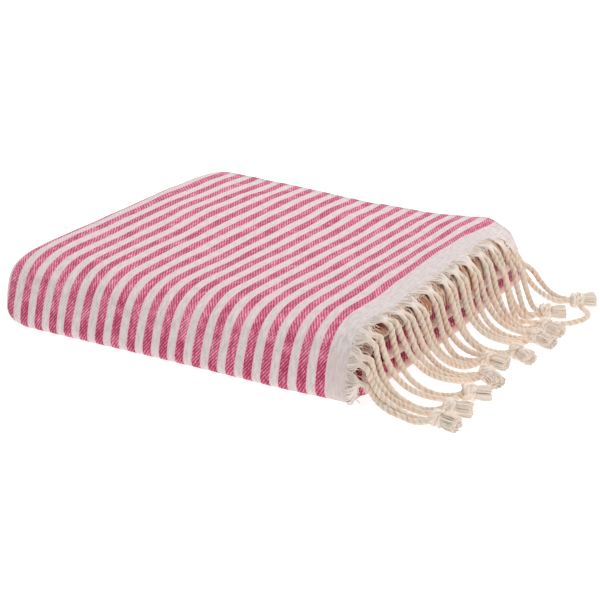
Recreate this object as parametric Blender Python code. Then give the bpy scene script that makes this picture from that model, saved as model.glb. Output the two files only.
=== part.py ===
"""Striped flat-woven beach towel with a knotted fringe, folded into a pad.

The frame has +X along the front edge of the pad towards the fringe, +Y from the front edge to the
back and +Z up. Its origin is the middle of the flat underside. Sizes are in metres.

The cloth lies in five layers along its length, which make a pack. The pack is then folded in three
across its width: a bottom panel, a flap inside, and a top panel that turns round the whole front.
"""
import math

import bmesh
import bpy
import numpy as np

# ---- the pad
HALF_LENGTH = 0.1745      # middle of the pad to the folded ends, along X
HALF_DEPTH = 0.1575       # middle of the pad to its front and back edges, along Y
PAD_HEIGHT = 0.0538       # top over the floor at the middle of the pad
HEIGHT_CURVE = (-0.075, 0.183, 0.152)    # rise of the top along X, per half length, its square, its cube
FRONT_CURVE = (-0.0033, -0.0028)         # bow of the front edge along X, square and cube terms
LEFT_SLANT = -0.0110      # the left end reaches further at the back than at the front
LEFT_PIVOT = 0.032        # depth from the front edge at which it has its plain length
RIGHT_SLANT = -0.0135     # and the right end less far
RIGHT_TURN = (-0.040, 0.150)      # Y at which that begins and is full

# ---- the cloth and how it is folded
CLOTH = 0.0016            # one layer of loose cloth
PACK_GAP = 0.0021         # air between two panels of the pack
PACK = (PAD_HEIGHT - 2 * PACK_GAP) / 3
LAYER_STEP = (PACK - CLOTH) / 4
BORDER_X = 0.1612         # the fringed end of the outer layer
FRONT_SHOULDER = (0.0560, 2.7)    # depth of the front round above its widest line, and its fullness
FRONT_HEEL = (0.0100, 2.2)        # the same below it
FRONT_LINE = 0.0140       # height of the widest line of the front round
INNER_FULLNESS = 4.0      # fullness of the front round's inner face
FLAP_SETBACK = 0.0185     # from that inner face to the flap's hidden edge
BACK_ROUND = 0.0200       # depth of the back fold
INNER_ROUND = 0.0045      # the same of its inner face
INNER_HEEL = 0.0090       # depth of the front round's inner face below its widest line
INNER_BACK = 0.0050       # the top's inner layers end this far inside the outer one
BACK_DIP = 0.0015         # fall of the top's back edge

# the places in the pack, from its outer side, of the layers in the order in which the cloth runs
# through them from its fringed end
LAYER_ORDER = (0, 4, 1, 3, 2)
# the folds between one layer and the next: end of the pad, distance of the fold inside that end,
# length of its round, points round it
FOLDS = (
    dict(side=-1, inset=0.000, reach=0.030, points=6),
    dict(side=+1, inset=0.000, reach=0.014, points=5),
    dict(side=-1, inset=0.011, reach=0.008, points=3),
    dict(side=+1, inset=0.009, reach=0.004, points=2),
)
# where every layer has its points, so that neighbours keep apart: along X and, in the panels, along Y
LAYER_X = (-0.137, -0.090, -0.040, 0.020, 0.070, 0.112, 0.132, 0.148)
PANEL_Y = (-0.100, -0.065, -0.025, 0.020, 0.060, 0.095, 0.122)

# soft swells (rise > 0) and hollows of the top: place, half widths, rise
SWELLS = (
    dict(x=-0.100, y=+0.036, wide=0.055, deep=0.050, rise=+0.0024),
    dict(x=-0.110, y=-0.120, wide=0.060, deep=0.030, rise=-0.0012),
    dict(x=+0.045, y=-0.095, wide=0.055, deep=0.040, rise=+0.0015),
    dict(x=+0.040, y=+0.070, wide=0.060, deep=0.070, rise=-0.0014),
    dict(x=+0.135, y=+0.025, wide=0.040, deep=0.070, rise=+0.0016),
    dict(x=+0.168, y=-0.095, wide=0.026, deep=0.045, rise=-0.0055),
    dict(x=+0.172, y=+0.000, wide=0.022, deep=0.300, rise=-0.0036),
)
CORNER_DROOP = 0.29       # share of its height that the back right corner loses
DROOP_X = (0.118, 0.166)          # where the droop begins and is full, along X
DROOP_Y = (0.070, 0.150)          # and along Y

# ---- the fringe
STRIP_GAP = 0.0004        # air between the cloth's edge and the strip
STRIP_WIDTH = 0.0036
CORD_RADIUS = 0.0027
CORD_STEP = 0.0075        # length of one step of a cord
CORD_APART = 0.0068       # middles of two cords that lie side by side
FINE_STEPS = 3            # parts of a step in which the cords are laid out
CORD_TURN = math.radians(40)      # turn of a cord in one step, which shows its twist
STRIP_TAIL = 0.0010       # the strip stops this far inside the cloth's last corner
ROOT_SHARE = 0.9          # half of a cord's width at its root, as a share of its radius
ROOT_MARGIN = 0.0015      # strip in front of the first root
BUNDLE_STEP = 0.0243      # from one bundle of warp to the next along the edge
PAIR_STEP = 0.0080        # between the two cords of a bundle
SLOT_STEP = 0.0078        # between the cords that enter one knot
CORD_FULLNESS = 1.10      # a four-sided cord is this much wider over its corners
FIRST_BUNDLE = 0.0075     # edge length from the floor to the first bundle, which has one cord
# the knots from the front to the back: place of the knot, place of its brush's tip, cords tied in it
KNOTS = (
    dict(x=0.235, y=-0.159, tip_x=0.253, tip_y=-0.162, cords=2),
    dict(x=0.232, y=-0.137, tip_x=0.250, tip_y=-0.132, cords=3),
    dict(x=0.226, y=-0.109, tip_x=0.248, tip_y=-0.096, cords=3),
    dict(x=0.226, y=-0.061, tip_x=0.243, tip_y=-0.074, cords=2),
    dict(x=0.210, y=-0.036, tip_x=0.233, tip_y=-0.036, cords=3),
    dict(x=0.228, y=-0.009, tip_x=0.244, tip_y=-0.017, cords=3),
    dict(x=0.223, y=+0.031, tip_x=0.244, tip_y=+0.024, cords=3),
    dict(x=0.222, y=+0.055, tip_x=0.240, tip_y=+0.051, cords=2),
    dict(x=0.210, y=+0.087, tip_x=0.224, tip_y=+0.096, cords=3),
    dict(x=0.220, y=+0.125, tip_x=0.233, tip_y=+0.138, cords=2),
)
# a cord's first stretch: distance out from the strip, height over it, share of the first drop
CORD_START = (
    dict(out=0.0000, over=0.0000, drop=0.00),
    dict(out=0.0065, over=0.0022, drop=0.00),
    dict(out=0.0135, over=0.0018, drop=0.25),
    dict(out=0.0205, over=0.0010, drop=1.00),
)
FIRST_DROP = 0.0048
# from there to the floor: share of the way out, share of the height that is left
CORD_FALL = (
    dict(way=0.10, height=0.74),
    dict(way=0.24, height=0.46),
    dict(way=0.44, height=0.21),
    dict(way=0.70, height=0.04),
)
LOW_ROOT, HIGH_ROOT = 0.010, 0.050        # heights of the lowest roots and of those on the top
LOW_SWING, HIGH_SWING = 0.18, 0.48        # low roots turn aside to their knots sooner
BEFORE_KNOT = 0.0250      # where a cord has reached its place beside the others
BESIDE_KNOT = 0.0115      # where the cords end that meet the one that carries the knot
LOOP_SIDE, LOOP_AHEAD = 0.0118, 0.0020    # where the looping cord ends, beside the knot
# the knot along X: distance from its middle, radius
KNOT_SHAPE = (
    dict(at=-0.0110, radius=0.0027),
    dict(at=-0.0060, radius=0.0060),
    dict(at=+0.0000, radius=0.0075),
)
# the brush towards its tip: distance from the knot's middle, and share of the reach added, radius
BRUSH_SHAPE = (
    dict(at=0.0055, share=0.0, radius=0.0060),
    dict(at=0.0090, share=0.0, radius=0.0031),
    dict(at=0.0000, share=0.6, radius=0.0047),
    dict(at=0.0000, share=1.0, radius=0.0052),
)
PUSH_ROUNDS = 80          # rounds in which the cords are pushed clear of each other
PUSH_SHARE = 0.3          # share of what is missing that one round adds
PUSH_WAYS = (0.3, 1.0, 0.6)       # how freely a cord gives way along X, Y and Z
LEVEL_WITHIN = 0.0010     # a ring that comes this near the floor rests on it
# one cord of the last knot comes round from between two other knots: its way along the floor
LOOP_AFTER = 21           # cords in front of it
LOOP_WAY = (
    dict(x=0.196, y=+0.064),
    dict(x=0.214, y=+0.0695),
    dict(x=0.232, y=+0.079),
    dict(x=0.241, y=+0.097),
    dict(x=0.238, y=+0.112),
)


def smooth(value, low, high):
    """An S-curve: 0 below low and 1 above high."""
    share = np.clip((value - low) / (high - low), 0.0, 1.0)
    return share * share * (3.0 - 2.0 * share)


def quarter(share, fullness):
    """Rise and remaining distance on a quarter of a rounded corner."""
    angle = share * math.pi / 2
    return math.sin(angle) ** (2 / fullness), max(math.cos(angle), 0.0) ** (2 / fullness)


def pack_section():
    """The middle of the cloth across the pack: (x, place in the pack) along the cloth."""
    places = [CLOTH / 2 + layer * LAYER_STEP for layer in LAYER_ORDER]
    section = [(BORDER_X, places[0])]
    for place, following, fold in zip(places, places[1:], FOLDS):
        side = fold["side"]
        section += [(x, place) for x in LAYER_X[::side]]
        start = side * (HALF_LENGTH - CLOTH / 2 - fold["inset"] - fold["reach"])
        middle, half = (place + following) / 2, (place - following) / 2
        for step in range(fold["points"] + 2):
            angle = math.pi * step / (fold["points"] + 1)
            section.append((start + side * fold["reach"] * math.sin(angle), middle + half * math.cos(angle)))
    section += [(x, places[-1]) for x in LAYER_X[::-1]]
    return np.array(section)


def wrap_path():
    """The outer and the inner face of the pack across its width, as (y, z) pairs.

    It runs from the flap's hidden edge over the back fold and the bottom to the front round and on
    to the back edge of the top. The last value is the number of stations before the front round.
    """
    front, back = -HALF_DEPTH, HALF_DEPTH
    flap_low, flap_high = PACK + PACK_GAP, 2 * PACK + PACK_GAP
    top_low = 2 * (PACK + PACK_GAP)
    inner_front = front + PACK
    inner_line = (PACK + top_low) / 2
    fold_y = back - BACK_ROUND
    outer, inner = [], []
    for y in (inner_front + FLAP_SETBACK,) + PANEL_Y:
        outer.append((y, flap_high))
        inner.append((y, flap_low))
    for share in np.linspace(0, 1, 7):
        rise, reach = math.cos(math.pi * share), math.sin(math.pi * share)
        outer.append((fold_y + BACK_ROUND * reach, flap_high / 2 * (1 + rise)))
        inner.append((fold_y + INNER_ROUND * reach, PACK + PACK_GAP / 2 * (1 + rise)))
    for y in reversed(PANEL_Y):
        outer.append((y, 0.0))
        inner.append((y, PACK))
    before_front = len(outer)
    for share in (0.0, 0.3, 0.6):
        reach, rest = quarter(share, FRONT_HEEL[1])
        outer.append((front + FRONT_HEEL[0] * (1 - reach), FRONT_LINE * (1 - rest)))
        inner.append((inner_front + INNER_HEEL * (1 - reach), PACK + (inner_line - PACK) * (1 - rest)))
    for share in (0.0, 0.14, 0.28, 0.42, 0.57, 0.76):
        rise, rest = quarter(share, FRONT_SHOULDER[1])
        outer.append((front + FRONT_SHOULDER[0] * (1 - rest), FRONT_LINE + (PAD_HEIGHT - FRONT_LINE) * rise))
        rise, rest = quarter(share, INNER_FULLNESS)
        inner.append((inner_front + (FRONT_SHOULDER[0] - PACK) * (1 - rest),
                      inner_line + (top_low - inner_line) * rise))
    for y in PANEL_Y:
        outer.append((y, PAD_HEIGHT))
        inner.append((y, top_low))
    outer.append((back, PAD_HEIGHT - BACK_DIP))
    inner.append((back - INNER_BACK, top_low - BACK_DIP))
    return np.array(outer), np.array(inner), before_front


def settle(x, y, z):
    """Turn the even pad into the one that lies there: slanted ends, bowed front, uneven top."""
    along = x / HALF_LENGTH
    left = np.clip(-along, 0, 1) ** 3
    right = np.clip(along, 0, 1) ** 4
    shifted_x = x + LEFT_SLANT * left * (y + HALF_DEPTH - LEFT_PIVOT) / (2 * HALF_DEPTH)
    shifted_x = shifted_x + RIGHT_SLANT * right * smooth(y, *RIGHT_TURN)
    square, cube = FRONT_CURVE
    shifted_y = y + (square * along ** 2 + cube * along ** 3) * np.clip(-y / HALF_DEPTH, 0, 1) ** 2
    line, square, cube = HEIGHT_CURVE
    height = 1 + line * along + square * along ** 2 + cube * along ** 3
    height = height * (1 - CORNER_DROOP * smooth(x, *DROOP_X) * smooth(y, *DROOP_Y))
    rise = 0.0
    for swell in SWELLS:
        away = ((x - swell["x"]) / swell["wide"]) ** 2 + ((y - swell["y"]) / swell["deep"]) ** 2
        rise = rise + swell["rise"] * np.exp(-away)
    lifted = z - CLOTH / 2
    return shifted_x, shifted_y, CLOTH / 2 + lifted * height + rise * lifted / PAD_HEIGHT


def cloth_middle():
    """Middle of the cloth and its outward direction, on a grid of cloth length by cloth width."""
    section = pack_section()
    outer, inner, before_front = wrap_path()
    share = (section[:, 1] / PACK)[:, None]
    y = outer[None, :, 0] * (1 - share) + inner[None, :, 0] * share
    z = outer[None, :, 1] * (1 - share) + inner[None, :, 1] * share
    x = np.repeat(section[:, 0][:, None], len(outer), axis=1)
    middle = np.stack(settle(x, y, z), axis=-1)
    normal = np.cross(np.gradient(middle, axis=0), np.gradient(middle, axis=1))
    normal /= np.linalg.norm(normal, axis=-1, keepdims=True)
    if normal[0, -1, 2] < 0:
        normal = -normal
    return middle, normal, before_front


def material(name, colour, roughness):
    made = bpy.data.materials.new(name)
    made.use_nodes = True
    shader = made.node_tree.nodes["Principled BSDF"]
    shader.inputs["Base Color"].default_value = (*colour, 1.0)
    shader.inputs["Roughness"].default_value = roughness
    shader.inputs["Metallic"].default_value = 0.0
    return made


def add_object(name, points, faces, finish):
    mesh = bpy.data.meshes.new(name)
    mesh.from_pydata([tuple(point) for point in points], [], faces)
    body = bmesh.new()
    body.from_mesh(mesh)
    bmesh.ops.recalc_face_normals(body, faces=body.faces)
    body.to_mesh(mesh)
    body.free()
    mesh.materials.append(finish)
    made = bpy.data.objects.new(name, mesh)
    bpy.context.scene.collection.objects.link(made)
    mesh.shade_smooth()
    mesh.set_sharp_from_angle(angle=math.radians(50))
    return made


def build_cloth():
    """The folded cloth: a sheet with two sides and four closed edges."""
    middle, normal, _ = cloth_middle()
    rows, columns = middle.shape[:2]
    sides = [middle + normal * CLOTH / 2, middle - normal * CLOTH / 2]
    points = np.concatenate([side.reshape(-1, 3) for side in sides])

    def at(side, row, column):
        return side * rows * columns + row * columns + column

    faces = []
    for row in range(rows - 1):
        for column in range(columns - 1):
            corners = ((row, column), (row + 1, column), (row + 1, column + 1), (row, column + 1))
            faces.append([at(0, *corner) for corner in corners])
            faces.append([at(1, *corner) for corner in reversed(corners)])
    rim = [(row, 0) for row in range(rows - 1)]
    rim += [(rows - 1, column) for column in range(columns - 1)]
    rim += [(row, columns - 1) for row in range(rows - 1, 0, -1)]
    rim += [(0, column) for column in range(columns - 1, 0, -1)]
    for here, there in zip(rim, rim[1:] + rim[:1]):
        faces.append([at(0, *there), at(0, *here), at(1, *here), at(1, *there)])
    return add_object("towel_cloth", points, faces, material("striped_cotton", (0.79, 0.40, 0.50), 0.9))


def border_edge():
    """The fringed edge from the floor at the front to the back: its points and three directions."""
    middle, normal, before_front = cloth_middle()
    points = middle[0, before_front:]
    outward = middle[0, before_front:] - middle[1, before_front:]
    outward /= np.linalg.norm(outward, axis=-1, keepdims=True)
    up = normal[0, before_front:]
    length = np.concatenate([[0], np.cumsum(np.linalg.norm(np.diff(points, axis=0), axis=-1))])

    def at(distance):
        place, out, over = (np.array([np.interp(distance, length, values[:, axis]) for axis in range(3)])
                            for values in (points, outward, up))
        return place, out / np.linalg.norm(out), over / np.linalg.norm(over)

    return at, length[-1]


def curve_through(points, step):
    """A smooth curve through the points, at even steps, each in its fine parts."""
    points = [np.array(point, float) for point in points]
    ends = [2 * points[0] - points[1]] + points + [2 * points[-1] - points[-2]]
    dense = []
    for before, here, there, after in zip(ends, ends[1:], ends[2:], ends[3:]):
        for share in np.linspace(0, 1, 12, endpoint=False):
            dense.append(0.5 * (2 * here + (there - before) * share
                                + (2 * before - 5 * here + 4 * there - after) * share ** 2
                                + (3 * here - before - 3 * there + after) * share ** 3))
    dense = np.array(dense + [points[-1]])
    length = np.concatenate([[0], np.cumsum(np.linalg.norm(np.diff(dense, axis=0), axis=-1))])
    even = np.linspace(0, length[-1], FINE_STEPS * max(int(round(length[-1] / step)), 2) + 1)
    return np.stack([np.interp(even, length, dense[:, axis]) for axis in range(3)], axis=-1)


def cord_plan():
    """For each cord from the front to the back: its knot, and its place among the knot's cords."""
    plan = [(knot, place) for knot in KNOTS for place in range(knot["cords"])]
    plan.insert(LOOP_AFTER, (KNOTS[-1], None))
    return plan


def cord_way(root, out, over, knot, place):
    """The way of a cord from the strip over the edge of the pad and along the floor to its knot."""
    centre = np.array([knot["x"], knot["y"], CORD_RADIUS])
    ahead = np.array([knot["tip_x"] - knot["x"], knot["tip_y"] - knot["y"], 0.0])
    ahead /= np.linalg.norm(ahead)
    aside = np.array([-ahead[1], ahead[0], 0.0])
    drop = np.array([0.0, 0.0, min(FIRST_DROP, root[2] - CORD_RADIUS)])
    way = [root + out * step["out"] + over * step["over"] - drop * step["drop"] for step in CORD_START]
    shoulder = way[-1]
    swing = LOW_SWING + (HIGH_SWING - LOW_SWING) * smooth(root[2], LOW_ROOT, HIGH_ROOT)
    carrier = (knot["cords"] - 1) // 2
    if place is None:
        along = [np.array([spot["x"], spot["y"], CORD_RADIUS]) for spot in LOOP_WAY]
        along.append(centre + ahead * LOOP_AHEAD - aside * LOOP_SIDE)
        target = along[0]
    else:
        offset = (place - carrier) * SLOT_STEP
        target = centre + np.array([-BEFORE_KNOT, offset, 0])
        along = [target]
        if place != carrier:
            along.append(centre + np.array([-BESIDE_KNOT, offset, 0]))
    for step in CORD_FALL:
        spot = shoulder + (target - shoulder) * step["way"]
        spot[1] = shoulder[1] + (target[1] - shoulder[1]) * step["way"] ** swing
        spot[2] = target[2] + (shoulder[2] - target[2]) * step["height"]
        way.append(spot)
    way += along
    if place == carrier:
        tip = np.array([knot["tip_x"], knot["tip_y"], CORD_RADIUS])
        reach = np.linalg.norm(tip - centre)
        ends = [(centre + np.array([ring["at"], 0, 0]), ring["radius"]) for ring in KNOT_SHAPE]
        for ring in BRUSH_SHAPE:
            ends.append((centre + ahead * (ring["at"] + ring["share"] * reach), ring["radius"]))
        return way, ends
    return way, []


def part_cords(paths):
    """Push the paths of neighbouring cords sideways until they lie clear of each other.

    The stretches next to the strip and next to the knots stay where they are.
    """
    holds = []
    for path in paths:
        steps = np.arange(len(path))
        holds.append((smooth(steps, 6, 11) * smooth(steps[::-1], 2, 7))[:, None])
    for _ in range(PUSH_ROUNDS):
        pushes = [np.zeros_like(path) for path in paths]
        for first in range(len(paths)):
            for second in range(first + 1, min(first + 4, len(paths))):
                away = paths[first][:, None] - paths[second][None]
                distance = np.linalg.norm(away, axis=-1, keepdims=True)
                push = away / distance * np.clip(CORD_APART - distance, 0, None) * PUSH_SHARE
                pushes[first] += push.sum(axis=1)
                pushes[second] -= push.sum(axis=0)
        for path, push, hold in zip(paths, pushes, holds):
            for _ in range(3):
                push[1:-1] = (push[:-2] + push[1:-1] + push[2:]) / 3
            path += push * hold * PUSH_WAYS
            path[:, 2] = np.maximum(path[:, 2], CORD_RADIUS)
    return [path[::FINE_STEPS] for path in paths]


def build_fringe():
    """The strip outside the cloth's edge with its twisted cords, knots and brushes, in one piece."""
    edge, edge_length = border_edge()
    plan = cord_plan()
    roots = []
    for index in range(len(plan)):
        bundle, second = divmod(index + 1, 2)
        roots.append(FIRST_BUNDLE + bundle * BUNDLE_STEP + (second - 0.5) * PAIR_STEP)
    half_root = ROOT_SHARE * CORD_RADIUS
    cuts = [roots[0] - half_root - ROOT_MARGIN]
    for root in roots:
        cuts += [root - half_root, root + half_root]
    cuts.append(edge_length - STRIP_TAIL)
    points, faces = [], []
    for cut in cuts:
        place, out, over = edge(cut)
        near, far = place + out * STRIP_GAP, place + out * (STRIP_GAP + STRIP_WIDTH)
        half = over * CLOTH / 2
        points += [near - half, far - half, far + half, near + half]
    faces.append([3, 2, 1, 0])
    for index in range(len(cuts) - 1):
        low, high = 4 * index, 4 * index + 4
        for side in range(4):
            following = (side + 1) % 4
            rooted = side == 1 and index % 2 == 1
            if not rooted:
                faces.append([low + side, low + following, high + following, high + side])
    faces.append([4 * len(cuts) - 4 + side for side in range(4)])
    ways = []
    for (knot, place), root in zip(plan, roots):
        start, out, over = edge(root)
        ways.append(cord_way(start + out * (STRIP_GAP + STRIP_WIDTH), out, over, knot, place))
    paths = part_cords([curve_through(way, CORD_STEP) for way, _ in ways])
    for index, (path, (_, ends)) in enumerate(zip(paths, ways)):
        steps = [(spot, CORD_RADIUS) for spot in path[1:]] + ends
        first = 4 * (2 * index + 1)
        ring = [first + 1, first + 5, first + 6, first + 2]
        side = np.array(points[first + 5]) - np.array(points[first + 1])
        up = np.array(points[first + 6]) - np.array(points[first + 5])
        turned = 0.0
        spots = [path[0]] + [spot for spot, _ in steps]
        spots.append(2 * spots[-1] - spots[-2])
        for number, (spot, radius) in enumerate(steps):
            forward = spots[number + 2] - spots[number]
            forward /= np.linalg.norm(forward)
            side = side - forward * np.dot(side, forward)
            side /= np.linalg.norm(side)
            handed = np.cross(forward, side)
            up = handed if np.dot(handed, up) > 0 else -handed
            turned += CORD_TURN
            corners = []
            for corner in range(4):
                angle = turned + math.radians(-135 + 90 * corner)
                reach = CORD_FULLNESS * radius
                corners.append(spot + side * reach * math.cos(angle) + up * reach * math.sin(angle))
            lowest = min(corner[2] for corner in corners)
            if lowest < LEVEL_WITHIN:
                corners = [corner - np.array([0, 0, lowest]) for corner in corners]
            new = list(range(len(points), len(points) + 4))
            points += corners
            for corner in range(4):
                following = (corner + 1) % 4
                faces.append([ring[corner], ring[following], new[following], new[corner]])
            ring = new
        faces.append(list(ring))
    return add_object("fringe", points, faces, material("twisted_cotton", (0.85, 0.76, 0.66), 0.95))


def main():
    for old in list(bpy.data.objects):
        bpy.data.objects.remove(old, do_unlink=True)
    build_cloth()
    build_fringe()


main()
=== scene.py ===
"""Looks of a flat-woven, striped beach towel with a knotted fringe, folded into a pad.

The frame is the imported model's: +X along the front edge towards the fringe, +Y from the rounded front
edge to the back, +Z up, metres, origin in the middle of the flat underside. The cloth is one thin sheet
on the folds of its solid. The fringe is warp that leaves the cloth in fans, two cords to a bundle.
"""

from functools import partial
from math import copysign, cos, pi, radians, sin, sqrt

import bpy
import numpy as np
from mathutils import Matrix, Vector


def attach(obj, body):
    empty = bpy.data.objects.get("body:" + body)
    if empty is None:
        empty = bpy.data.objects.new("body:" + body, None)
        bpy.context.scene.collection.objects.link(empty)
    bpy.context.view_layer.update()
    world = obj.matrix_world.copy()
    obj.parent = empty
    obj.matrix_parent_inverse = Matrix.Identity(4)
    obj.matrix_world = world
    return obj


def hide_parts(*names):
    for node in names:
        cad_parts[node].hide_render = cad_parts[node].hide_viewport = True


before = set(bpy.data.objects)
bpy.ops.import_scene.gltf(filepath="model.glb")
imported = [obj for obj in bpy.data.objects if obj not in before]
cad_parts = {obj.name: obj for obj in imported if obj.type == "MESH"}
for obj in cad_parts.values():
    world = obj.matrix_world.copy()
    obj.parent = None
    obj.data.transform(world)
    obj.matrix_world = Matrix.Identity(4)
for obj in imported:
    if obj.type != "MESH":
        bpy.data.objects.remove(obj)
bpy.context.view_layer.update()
UP = np.array([0.0, 0.0, 1.0])

# ---- the pad, as in its solid
HALF_LENGTH = 0.1745
HALF_DEPTH = 0.1575
PAD_HEIGHT = 0.0538
HEIGHT_CURVE = (-0.075, 0.183, 0.152)
FRONT_CURVE = (-0.0033, -0.0028)
LEFT_SLANT = -0.011
LEFT_PIVOT = 0.032
RIGHT_SLANT = -0.0135
RIGHT_TURN = (-0.04, 0.15)
SOLID_CLOTH = 0.0016
PACK_GAP = 0.0021
PACK = (PAD_HEIGHT - 2 * PACK_GAP) / 3
LAYER_STEP = (PACK - SOLID_CLOTH) / 4
BORDER_X = 0.1612
BORDER_ROWS, BORDER_DEPTH = 6, 0.0132  # closer rows of points next to the fringe
LAYER_START = -0.14  # left end of a layer's straight run
FRONT_SHOULDER = (0.056, 2.7)
FRONT_HEEL = (0.006, 2.2)
FRONT_LINE = 0.008
HEEL_SHARES = np.linspace(0, 0.92, 9)  # points round the front's heel and shoulder
SHOULDER_SHARES = np.linspace(0, 0.9, 22)
TOE_REACH, TOE_HEIGHT = 0.0055, 0.032  # the front stands forward at the floor, up to this height,
TOE_X, TOE_Y = (0.09, 0.165), (0.12, 0.155)  # but no longer at its right end
INNER_FULLNESS = 4.0
FLAP_SETBACK = 0.0185
BACK_ROUND = 0.02
INNER_ROUND = 0.0045
INNER_HEEL = 0.009
INNER_BACK = 0.005
BACK_DIP = 0.0015
DIP_START = 0.11
LAYER_ORDER = (0, 4, 1, 3, 2)
# the folds of the layers: side, inset, reach, points
FOLDS = (
    (-1, 0.000, 0.030, 17),
    (+1, 0.000, 0.014, 13),
    (-1, 0.011, 0.008, 7),
    (+1, 0.009, 0.004, 5),
)
# swells and hollows: middle in X and Y, width, depth, rise
SWELLS = (
    (-0.100, +0.036, 0.055, 0.050, +0.0024),
    (-0.110, -0.120, 0.060, 0.030, -0.0012),
    (+0.045, -0.095, 0.055, 0.040, +0.0015),
    (+0.040, +0.070, 0.060, 0.070, -0.0014),
    (+0.135, +0.025, 0.040, 0.070, +0.0016),
    (+0.168, -0.095, 0.026, 0.045, -0.0055),
    (+0.172, +0.000, 0.022, 0.300, -0.0036),
)
CORNER_DROOP = 0.29
DROOP_X = (0.118, 0.166)
DROOP_Y = (0.07, 0.15)

# ---- the cloth
CLOTH = 0.0011  # a soft flat weave, with its nap
OUTER_STEP = 0.0045  # between the points of the layer that shows, along X
INNER_STEP = 0.02  # and of the layers under it
PANEL_START, PANEL_END = -0.1, 0.148
INSIDE_END, INSIDE_POINTS = 0.122, 15  # of the layers inside, along Y
TOP_STEP = 0.005  # between the points of the top, along Y
WHITE_BORDER = 0.0186  # plain stretch before the first stripe
STRIPE_PITCH = 0.016  # one raspberry and one white stripe
# lines of the weave, as drawn: from one to the next, and how they run along the cloth and across it
WEAVE_LINES = (
    (0.0034, 1.26, 1),  # the diagonals of standing cloth
    (0.0040, 1.60, -1),  # the lines across them on lying cloth
)
EDGE_WANDER = 0.0007  # the edges of the stripes are ragged by this much
EDGE_SOFT = 0.012  # and soft over this share of a stripe
# uneven weave: spots for each metre along the cloth and across it, and their detail
WEAVE_SPOTS = dict(
    edges=(1300, 1300, 1),
    wander=(110, 110, 2),  # of the lines of the twill
    flecks=(560, 560, 2),
    slubs=(400, 132, 3),  # thick and thin places in the yarn
    patches=(45, 45, 3),
)
FIRST_STRIPE = WHITE_BORDER + STRIPE_PITCH / 4  # middle of the first raspberry one
LOOSE_LENGTH = 0.32  # from there on the pitch changes, over the outer layer
LOOSE_PITCH = (61.1, 4.61)  # stripes for each metre at its start, and their growth
LEAN = 0.037  # the stripes of the top run this much askew,
LEAN_START, LEAN_SOFT = 0.2575, 0.03  # from this far before the back edge on
LEAN_LEFT = (0.16, 0.36)  # and less so towards the left end, over these lengths
# further bends of the stripes: how far, and the lengths of cloth over which each comes in
LEFT_BEND = (0.0018, 0.318, 0.33)  # where the cloth turns under at the left end,
LEFT_BACK_BEND = (0.003, 0.308, 0.32)  # and more towards the back,
BEND_BACK = 0.1  # where it is whole this far before the back edge
NEXT_BEND = (-0.001, 0.13, 0.19)
FIRST_BEND = (0.0015, 0.07, 0.13)  # near the border. Over these lengths this one goes out,
FIRST_BEND_IN = 0.08  # and it comes in over the front of the top
INSIDE_SHIFT = 0.0027  # of the stripes on the hidden layers, so that the folds inside end in white
INSIDE_FROM = (0.4, 0.5)
# soft creases of the top and the front: middle in X and Y, direction, length, width, rise
CREASES = (
    (-0.060, -0.040, 62, 0.060, 0.010, +0.0007),
    (-0.020, +0.020, 70, 0.070, 0.012, -0.0007),
    (+0.030, -0.030, 55, 0.060, 0.012, +0.0006),
    (+0.085, +0.030, 80, 0.060, 0.011, -0.0006),
    (+0.100, -0.075, 35, 0.045, 0.010, +0.0007),
    (-0.120, -0.060, 75, 0.050, 0.012, -0.0006),
    (-0.080, +0.100, 20, 0.060, 0.012, +0.0006),
    (+0.020, +0.110, 10, 0.070, 0.012, +0.0006),
)
# slow waves of the whole cloth: length along it and across it, start, height
WAVES = (
    (0.083, 0.210, 0.3, 0.00020),
    (0.057, -0.131, 1.9, 0.00014),
    (-0.119, 0.071, 4.2, 0.00018),
    (0.034, 0.047, 2.6, 0.00012),
    (-0.027, 0.061, 5.1, 0.00010),
)
CALM = (0.001, 0.008)  # the waves die out between these heights, down to the floor
TUCK = 0.023  # the folds inside stop short of the back corner, over these places
TUCK_X, TUCK_Y = (0.11, 0.172), (0.095, 0.15)
OUTER_ENDS = (0.33, 0.345)  # where the layer that shows turns under, along the cloth
CORNER_HANG = 0.012  # the border's own back corner hangs down this much more, over these places
HANG_X, HANG_Y = (0.148, 0.1635), (0.125, 0.16)
HANG_ENDS = (0.1, 0.14)
GATHER_HEIGHT = 0.0006  # puckers that the bundles draw into the border
GATHER_REACH = 0.009
FLOOR_GAP = 0.0001  # what lies on the floor is pressed flat this far over it

# ---- the fringe
BUNDLE_STEP = 0.0243  # from one bundle of warp to the next along the edge
FIRST_BUNDLE = 0.0095  # edge length from the floor to the first bundle, which has one cord
UNEVEN_STEP = 0.0015
FRONT_GATHER = 0.014  # the first bundle is drawn up this much, and each next one less
# a fan leaves the border flat and hangs over the end: distances out from the edge, and drops
FAN_SHAPE = ((0, 0), (0.0028, 0), (0.0055, 0.0003), (0.008, 0.0009), (0.0105, 0.0019))
# its cords start there and hang over further, at these shares of their full distance
CORD_SHAPE = ((0.0105, 0.0019), (0.015, 0.0056), (0.018, 0.0105))
PAIR_SHARES = (0.6, 0.85, 1.00)
# loose warp between two fans lies closer to the folds
SLACK_SHAPE = ((-0.001, 0), (0.005, 0.0008), (0.01, 0.004), (0.0135, 0.009), (0.015, 0.017))
FAN_HEIGHT = 0.032  # a fan whose root lies lower than this drops less
FAN_FRONT = (-0.125, -0.04)  # and so does one near the front
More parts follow.
